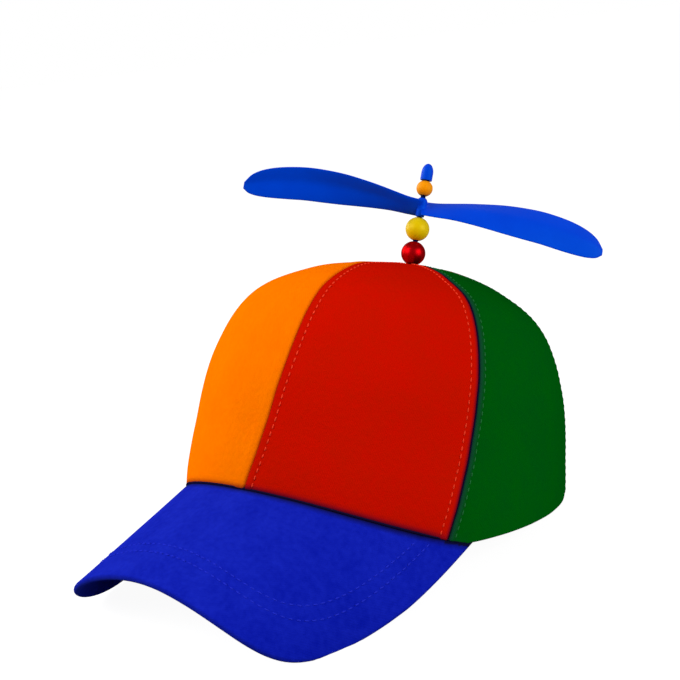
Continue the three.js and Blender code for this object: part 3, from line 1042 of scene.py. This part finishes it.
def rim_line():
    """The rim's outer line over the peak, in the rim's frame, every degree from the front."""
    line = []
    for turn in range(PEAK_HALF_TURN + 1):
        point = to_rim_frame(wall_point(turn, climb_to(turn, 0, arch_height)))
        line.append((point.x, point.y))
    return line


RIM_LINE = rim_line()


def rim_run(arc):
    """The run at which the peak passes under the rim's outer line."""
    wanted = PEAK_ARCH_RADIUS * math.sin(abs(arc) / PEAK_ARCH_RADIUS)
    i = min(max(bisect.bisect_left(RIM_LINE, (wanted,)), 1), PEAK_HALF_TURN)
    (x0, y0), (x1, y1) = RIM_LINE[i - 1], RIM_LINE[i]
    y = y0 + (y1 - y0) * (wanted - x0) / (x1 - x0)
    return (RIM_FRONT.y - y) / cosine(PEAK_SLOPE)


def peak_front(share):
    outline = max(1 - abs(share) ** PEAK_CORNER_POWER, 0) ** (1 / PEAK_FRONT_POWER)
    return -CORNER_RUN + (PEAK_LENGTH + CORNER_RUN) * outline


PEAK_COLUMNS = 150
PEAK_MIDDLE_ROWS = 40
PEAK_ROLL = PEAK_THICKNESS / 2
PEAK_EDGE_STEPS = tuple(PEAK_ROLL * step for step in ROLL_STEPS) + (0.0018, 0.0026)
PEAK_EDGE_LIMIT = 0.35


def peak_layout():
    """For each column of the peak: its arc, and its back and front runs."""
    layout = []
    step = 0.0004
    for c in range(PEAK_COLUMNS + 1):
        share = math.sin((c / PEAK_COLUMNS * 2 - 1) * math.pi / 2)
        arc = share * PEAK_HALF_ARC
        near = min(abs(arc), PEAK_HALF_ARC - step)
        steepness = (rim_run(near + step) - rim_run(near)) / step
        tuck = min(PEAK_TUCK * math.hypot(1, steepness), PEAK_TUCK_LIMIT)
        back = rim_run(arc) - tuck
        layout.append((arc, back, max(peak_front(share), back + PEAK_END_WIDTH)))
    return layout


def edge_finder(line):
    """A function giving the distance from a place to a line of (arc, run) points."""
    tree = kdtree.KDTree(len(line))
    for i, (arc, run) in enumerate(line):
        tree.insert((arc, run, 0), i)
    tree.balance()

    def distance(arc, run):
        _, nearest, best = tree.find((arc, run, 0))
        for i in (nearest - 1, nearest):
            if i < 0 or i + 1 >= len(line):
                continue
            (ax, ay), (bx, by) = line[i], line[i + 1]
            dx, dy = bx - ax, by - ay
            length = dx * dx + dy * dy
            if length == 0:
                continue
            t = min(max(((arc - ax) * dx + (run - ay) * dy) / length, 0), 1)
            best = min(best, math.hypot(arc - ax - t * dx, run - ay - t * dy))
        return best

    return distance


def kept_off_floor(point):
    """Where the curled corner would reach the floor, the cloth lies flat on it instead."""
    return Vector((point.x, point.y, max(point.z, CORNER_CLEARANCE)))


def build_peak():
    """The peak: a closed, stiff, cloth-covered shell with a rolled edge."""
    layout = peak_layout()
    (first_arc, first_back, _), (last_arc, last_back, _) = layout[0], layout[-1]
    front_edge = [(arc, front) for arc, _, front in layout]
    from_open_edge = edge_finder([(first_arc, first_back), *front_edge, (last_arc, last_back)])
    from_sewn_edge = edge_finder([(arc, back) for arc, back, _ in layout])
    from_joint = edge_finder([(arc, rim_run(arc)) for arc, _, _ in layout])
    edge_count = len(PEAK_EDGE_STEPS)
    rows = PEAK_MIDDLE_ROWS + 2 * (edge_count - 1)
    cache = {}

    def slant(column):
        before = layout[max(column - 1, 0)]
        after = layout[min(column + 1, PEAK_COLUMNS)]
        return math.hypot(after[0] - before[0], after[2] - before[2]) / abs(after[0] - before[0])

    def run_at(column, row):
        arc, back, front = layout[column]
        limit = PEAK_EDGE_LIMIT * (front - back)

        def edge_run(k, stretch):
            return min(PEAK_EDGE_STEPS[k] * stretch, limit * k / (edge_count - 1))

        if row < edge_count:
            return back + edge_run(row, 1 / SEWN_EDGE_SHARPNESS)
        if rows - row < edge_count:
            return front - edge_run(rows - row, slant(column))
        low = back + edge_run(edge_count - 1, 1 / SEWN_EDGE_SHARPNESS)
        high = front - edge_run(edge_count - 1, slant(column))
        return low + (high - low) * (row - edge_count + 1) / PEAK_MIDDLE_ROWS

    def spot(column, row):
        if (column, row) in cache:
            return cache[column, row]
        arc = layout[column][0]
        run = run_at(column, row)
        on_border = column in (0, PEAK_COLUMNS) or row in (0, rows)
        from_edge = 0
        if not on_border:
            from_edge = min(from_open_edge(arc, run), from_sewn_edge(arc, run) * SEWN_EDGE_SHARPNESS)
        half = PEAK_ROLL - rolled(from_edge, PEAK_ROLL)
        point = peak_point(arc, run)
        normal = peak_normal(arc, run)
        swell = cloth_wave(point) * PEAK_SWELL + peak_stitch_dip(arc, run)
        upper = point + normal * (half - PEAK_ROLL + swell)
        lower = point + normal * (-PEAK_ROLL - half + swell)
        if on_border:
            lower = upper
        places = [kept_off_floor(crown_place @ to_crown_frame(p)) for p in (upper, lower)]
        # Painted shade: full under the crown, dark along the joint with the crown and fading towards the
        # corners, and fainter along the rolled edge.
        painted_shade = 1
        if run >= rim_run(arc):
            fade = PEAK_JOINT_SHADE_FADE * smooth(abs(arc) / PEAK_HALF_ARC, *PEAK_JOINT_SHADE_FADE_SHARES)
            at_joint = (1 - fade) * (1 - smooth(from_joint(arc, run), 0, PEAK_JOINT_SHADE_REACH))
            painted_shade = max(EDGE_SHADE * (1 - smooth(from_edge, *EDGE_SHADE_FADE)), at_joint)
        cache[column, row] = (places, (arc, run), painted_shade)
        return cache[column, row]

    bm = two_faced_sheet(PEAK_COLUMNS, rows, spot)
    piece = finish_piece(bm, "peak_cloth", CLOTHS["blue_cloth"])
    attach(piece, "cap")
    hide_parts("peak")


def peak_row_run(row, arc):
    """The run of a row of stitches at an arc across the peak."""
    share = min(abs(arc) / row["half_arc"], 1)
    bend = (1 - share ** row["corner"]) ** (1 / row["front"])
    return -CORNER_RUN + (row["reach"] + CORNER_RUN) * bend


def peak_stitch_dip(arc, run):
    """How far the rows of stitches pull the peak's cloth in."""
    dip = 0
    step = 0.0005
    for row in PEAK_ROWS:
        if abs(arc) >= row["half_arc"] + PEAK_ROW_MARGIN:
            continue
        here = peak_row_run(row, arc)
        beyond = peak_row_run(row, abs(arc) + step)
        slope = (here - beyond) / step
        distance = (run - here) / math.hypot(1, slope)
        dip -= PEAK_ROW_DIP * math.exp(-((distance / PEAK_ROW_DIP_WIDTH) ** 2))
    return dip


def build_peak_stitches():
    """The peak's rows of stitches, which stop short of the crown."""
    draw = random.Random("peak")
    rows = []
    for row in PEAK_ROWS:
        path = []
        for i in range(PEAK_ROW_SAMPLES + 1):
            share = math.sin((2 * i / PEAK_ROW_SAMPLES - 1) * math.pi / 2) * PEAK_ROW_SHARE
            arc = share * row["half_arc"]
            run = peak_row_run(row, arc)
            if run < rim_run(arc) + PEAK_ROW_CLEARANCE:
                continue
            point = peak_point(arc, run)
            normal = peak_normal(arc, run)
            point += normal * (cloth_wave(point) * PEAK_SWELL + peak_stitch_dip(arc, run))
            path.append(stood_up(to_crown_frame(point), to_crown_frame(normal)))
        rows.append(stitched_row(path, draw))
    finish_stitches(gathered(rows), "peak_stitches", "blue_cloth")


# Hard pieces

def turned_piece(profile, steps):
    """A round solid about the stem's axis, from a closed loop of (radius, height) points."""
    bm = bmesh.new()
    verts = [bm.verts.new((radius, 0, height)) for radius, height in profile]
    edges = [bm.edges.new(pair) for pair in zip(verts, verts[1:])]
    if profile[0][0] > 0:
        edges.append(bm.edges.new((verts[-1], verts[0])))
    bmesh.ops.spin(
        bm, geom=verts + edges, cent=(0, 0, 0), axis=(0, 0, 1),
        angle=math.tau, steps=steps, use_merge=True,
    )
    bmesh.ops.remove_doubles(bm, verts=bm.verts, dist=MERGE_DISTANCE)
    bmesh.ops.recalc_face_normals(bm, faces=bm.faces)
    bmesh.ops.transform(bm, matrix=stem_place, verts=bm.verts)
    return bm


def arc_points(radius, centre, start, end, count, across=0.0):
    """Points of an arc in the profile plane: angles in degrees from the axis."""
    points = []
    for i in range(count + 1):
        angle = start + (end - start) * i / count
        points.append((across + radius * sine(angle), centre + radius * cosine(angle)))
    return points


def build_bead(name, node, radius, centre, material):
    """A round bead with a bore whose two lips are eased."""
    bore = STEM_RADIUS + BORE_GAP
    lip = EASED_EDGE
    start = math.degrees(math.asin((bore + lip) / radius))
    profile = arc_points(radius, centre, start, 180 - start, count=40)
    flat = radius * cosine(start)
    profile += arc_points(lip, centre - flat + lip, 180, 270, count=4, across=bore + lip)
    profile += arc_points(lip, centre + flat - lip, 270, 360, count=4, across=bore + lip)
    piece = finish_piece(turned_piece(profile, steps=64), name, material)
    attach(piece, "cap")
    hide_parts(node)


def dome_points(radius, bottom, height, count):
    return [
        (radius * cosine(90 * i / count), bottom + height * sine(90 * i / count)) for i in range(count)
    ] + [(0, bottom + height)]


def build_tip():
    """The bullet-shaped cap pressed on the stem's end."""
    bore = STEM_RADIUS + BORE_GAP
    bottom = TIP_BOTTOM - TIP_DROP
    socket_top = bottom + TIP_SOCKET_DEPTH
    lip = EASED_EDGE
    profile = [(0, socket_top), (bore, socket_top), (bore, bottom)]
    profile += arc_points(lip, bottom + lip, 180, 90, count=4, across=TIP_RADIUS - lip)
    shoulder = bottom + TIP_LENGTH - TIP_DOME_HEIGHT
    profile += dome_points(TIP_RADIUS, shoulder, TIP_DOME_HEIGHT, count=14)
    piece = finish_piece(turned_piece(profile, steps=48), "stem_tip_cap", BLUE_PLASTIC)
    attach(piece, "cap")
    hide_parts("stem_tip")


def build_stem():
    """The rod and its flat head inside the crown, with eased edges."""
    to_stem = stem_place.inverted()
    node = frame["nodes"]["stem"]
    head_bottom = min((to_stem @ vert.co).z for vert in node.data.vertices)
    head_top = head_bottom + STEM_HEAD_THICKNESS
    rod_top = TIP_BOTTOM + TIP_SOCKET_DEPTH - REST_GAP
    lip = MOULDED_EDGE
    profile = [(0, head_bottom)]
    profile += arc_points(lip, head_bottom + lip, 180, 90, count=3, across=STEM_HEAD_RADIUS - lip)
    profile += arc_points(lip, head_top - lip, 90, 0, count=3, across=STEM_HEAD_RADIUS - lip)
    profile += [(STEM_RADIUS, head_top), (STEM_RADIUS, rod_top), (0, rod_top)]
    piece = finish_piece(turned_piece(profile, steps=40), "stem_rod", STEM_PLASTIC)
    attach(piece, "cap")
    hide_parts("stem")


def blade_at(place):
    """Width, thickness and rise shares at a place along a blade, smooth between the table's rows."""
    rows = BLADE_TABLE
    i = 0
    while i < len(rows) - 2 and rows[i + 1]["along"] < place:
        i += 1
    here, following = rows[i], rows[i + 1]
    before = rows[max(i - 1, 0)]
    after = rows[min(i + 2, len(rows) - 1)]
    span = following["along"] - here["along"]
    t = (place - here["along"]) / span

    def value(key):
        start_slope = (following[key] - before[key]) / (following["along"] - before["along"]) * span
        end_slope = (after[key] - here[key]) / (after["along"] - here["along"]) * span
        return curved_between(here[key], following[key], start_slope, end_slope, t)

    return value("width"), value("thickness"), value("rise")


def blade_crease(across):
    """The height of a blade's soft ridge, from 1 at its crest towards 0 at the farther edge."""
    softness = BLADE_CREASE_SOFTNESS
    return 1 - math.sqrt(((across - BLADE_CREASE) ** 2 + softness) / ((1 + BLADE_CREASE) ** 2 + softness))


def blade_shell(turn, length, width_share):
    """One cambered blade, twisted from root to tip, drawn out ring by ring, closer towards the tip."""
    outward = Vector((cosine(turn), sine(turn), 0))
    tangent = Vector((0, 0, 1)).cross(outward)
    rings = []
    for s in range(BLADE_SECTIONS + 1):
        place = 1 - (1 - s / BLADE_SECTIONS) ** BLADE_CROWDING
        width, thickness, rise = blade_at(place)
        twist = (BLADE_TIP_PITCH - BLADE_ROOT_PITCH) * smooth(place, 0, BLADE_TWIST_END)
        pitch = BLADE_ROOT_PITCH + twist
        width *= width_share * sine(BLADE_PITCH) / sine(pitch)
        chord = tangent * cosine(pitch) + Vector((0, 0, sine(pitch)))
        normal = outward.cross(chord)
        centre = outward * (place * length)
        centre.z += HUB_BOTTOM + BLADE_MID_HEIGHT + rise * BLADE_RISE
        ring = []
        for i in range(BLADE_SIDES):
            angle = math.tau * i / BLADE_SIDES
            across = math.cos(angle)
            bulge = math.copysign(abs(math.sin(angle)) ** BLADE_FULLNESS, math.sin(angle))
            camber = BLADE_CAMBER * blade_crease(across) * smooth(place, *BLADE_CAMBER_START) * width
            ring.append(
                centre
                + chord * (across * width * BLADE_WIDTH / 2)
                + normal * (bulge * thickness * BLADE_THICKNESS / 2 + camber)
            )
        rings.append(ring)
    bm = drawn_out(rings)
    bmesh.ops.transform(bm, matrix=stem_place, verts=bm.verts)
    return bm


def joined_solids(first, others):
    """The first closed solid with the others joined into it."""
    for other in others:
        union = first.modifiers.new("join", "BOOLEAN")
        union.operation = "UNION"
        union.solver = "EXACT"
        union.object = other
        evaluated = first.evaluated_get(bpy.context.evaluated_depsgraph_get())
        mesh = bpy.data.meshes.new_from_object(evaluated)
        first.modifiers.clear()
        first.data = mesh
        bpy.data.objects.remove(other)
    return first


def build_propeller():
    """The bored, domed hub and its two blades, joined into one moulding."""
    bore = STEM_RADIUS + SPIN_GAP
    shoulder = HUB_BOTTOM + HUB_HEIGHT - HUB_DOME_HEIGHT
    lip = MOULDED_EDGE
    dome = [
        (radius, height)
        for radius, height in dome_points(HUB_RADIUS, shoulder, HUB_DOME_HEIGHT, count=16)
        if radius > bore + LEAST_LAND
    ]
    top = shoulder + HUB_DOME_HEIGHT * math.sqrt(1 - (bore / HUB_RADIUS) ** 2)
    foot_top = HUB_BOTTOM + BLADE_MID_HEIGHT - HUB_FOOT_BELOW_BLADES
    profile = [(bore, HUB_BOTTOM)]
    profile += arc_points(lip, HUB_BOTTOM + lip, 180, 90, count=4, across=HUB_FOOT_RADIUS - lip)
    profile += [(HUB_FOOT_RADIUS, foot_top), (HUB_RADIUS, foot_top + HUB_FLARE_HEIGHT)]
    profile += dome + [(bore, top)]
    hub = finish_piece(turned_piece(profile, steps=64), "propeller_blades", BLUE_PLASTIC)
    blades = []
    for blade in BLADES:
        shell = blade_shell(blade["turn"], blade["length"], blade["width"])
        blades.append(finish_piece(shell, "blade", BLUE_PLASTIC))
    piece = joined_solids(hub, blades)
    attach(piece, "propeller")
    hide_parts("propeller")


for panel_name in PANELS:
    build_panel(panel_name)
    build_panel_stitches(panel_name)
build_seam_cord("front_left")
build_peak()
build_peak_joint()
build_peak_stitches()
build_stem()
build_bead(
    "red_bead", "bead_red", RED_BEAD_RADIUS, RED_CENTRE, RED_LACQUER
)
build_bead(
    "yellow_bead", "bead_yellow", YELLOW_BEAD_RADIUS, YELLOW_CENTRE, YELLOW_LACQUER
)
build_bead(
    "orange_bead", "bead_orange", ORANGE_BEAD_RADIUS, ORANGE_CENTRE, ORANGE_LACQUER
)
build_propeller()
build_tip()


# Studio

CAMERA_AZIMUTH = 42.48
CAMERA_ELEVATION = 12.96
CAMERA_ROLL = -7.32
CAMERA_DISTANCE = 0.6051
CAMERA_TARGET = Vector((-0.0178, 0.0245, 0.0872))
CAMERA_LENS = 68.354
CAMERA_SENSOR = 36

# Each softbox: where it stands as seen from the cap, in degrees, and its watts
SOFTBOX_DISTANCE = 1.3
SOFTBOX_SIZE = 0.9
SOFTBOXES = {
    "front_left_softbox": {"azimuth": -30, "elevation": 38, "power": 11.1},
    "side_softbox": {"azimuth": -80, "elevation": 25, "power": 7.9},
    "right_softbox": {"azimuth": 95, "elevation": 15, "power": 10.9},
}

# How brightly the floor shows, how much of a shadow it takes, and what it and the sky throw back
FLOOR_SIZE = 40
FLOOR_GLOW = 0.945
FLOOR_SHADOW = 0.2
FLOOR_BOUNCE = 0.25
SKY_STRENGTH = 0.307


def direction_from(azimuth, elevation):
    return Vector((
        sine(azimuth) * cosine(elevation),
        -cosine(azimuth) * cosine(elevation),
        sine(elevation),
    ))


def looking_back(azimuth, elevation, distance):
    """The place of a camera or a light that stands off from the target and looks back at it."""
    away = direction_from(azimuth, elevation)
    turn = away.to_track_quat("Z", "Y").to_matrix().to_4x4()
    return Matrix.Translation(CAMERA_TARGET + away * distance) @ turn


def add_camera():
    data = bpy.data.cameras.new("camera")
    data.lens = CAMERA_LENS
    data.sensor_width = CAMERA_SENSOR
    data.clip_start = 0.01
    camera = bpy.data.objects.new("camera", data)
    bpy.context.scene.collection.objects.link(camera)
    place = looking_back(CAMERA_AZIMUTH, CAMERA_ELEVATION, CAMERA_DISTANCE)
    camera.matrix_world = place @ Matrix.Rotation(math.radians(CAMERA_ROLL), 4, "Z")
    bpy.context.scene.camera = camera


def add_softbox(name, azimuth, elevation, power):
    data = bpy.data.lights.new(name, "AREA")
    data.shape = "SQUARE"
    data.size = SOFTBOX_SIZE
    data.energy = power
    light = bpy.data.objects.new(name, data)
    bpy.context.scene.collection.objects.link(light)
    light.matrix_world = looking_back(azimuth, elevation, SOFTBOX_DISTANCE)


def add_floor():
    """A pale floor that shows only a faint shadow and throws little light back up."""
    material, nodes, links = new_material("studio_floor")
    nodes.remove(nodes["Principled BSDF"])
    dim = nodes.new("ShaderNodeBsdfDiffuse")
    dim.inputs["Color"].default_value = (FLOOR_BOUNCE, FLOOR_BOUNCE, FLOOR_BOUNCE, 1)
    lit = nodes.new("ShaderNodeBsdfDiffuse")
    lit.inputs["Color"].default_value = (FLOOR_SHADOW, FLOOR_SHADOW, FLOOR_SHADOW, 1)
    glow = nodes.new("ShaderNodeEmission")
    glow.inputs["Strength"].default_value = FLOOR_GLOW
    pale = nodes.new("ShaderNodeAddShader")
    links.new(lit.outputs[0], pale.inputs[0])
    links.new(glow.outputs[0], pale.inputs[1])
    choice = nodes.new("ShaderNodeMixShader")
    links.new(nodes.new("ShaderNodeLightPath").outputs["Is Camera Ray"], choice.inputs["Fac"])
    links.new(dim.outputs[0], choice.inputs[1])
    links.new(pale.outputs[0], choice.inputs[2])
    links.new(choice.outputs[0], nodes["Material Output"].inputs["Surface"])
    bm = bmesh.new()
    bmesh.ops.create_grid(bm, x_segments=1, y_segments=1, size=FLOOR_SIZE)
    finish_piece(bm, "floor", material)


def add_surroundings():
    """A white backdrop to the camera, and a softer grey one to the light."""
    world = bpy.data.worlds.new("studio")
    world.use_nodes = True
    nodes = world.node_tree.nodes
    links = world.node_tree.links
    path = nodes.new("ShaderNodeLightPath")
    mix = nodes.new("ShaderNodeMix")
    mix.data_type = "FLOAT"
    links.new(path.outputs["Is Camera Ray"], mix.inputs["Factor"])
    mix.inputs["A"].default_value = SKY_STRENGTH
    mix.inputs["B"].default_value = 1.0
    links.new(mix.outputs["Result"], nodes["Background"].inputs["Strength"])
    nodes["Background"].inputs["Color"].default_value = (1, 1, 1, 1)
    bpy.context.scene.world = world


add_camera()
for softbox_name, softbox in SOFTBOXES.items():
    add_softbox(softbox_name, **softbox)
add_floor()
add_surroundings()
bpy.context.scene.view_settings.view_transform = "Standard"
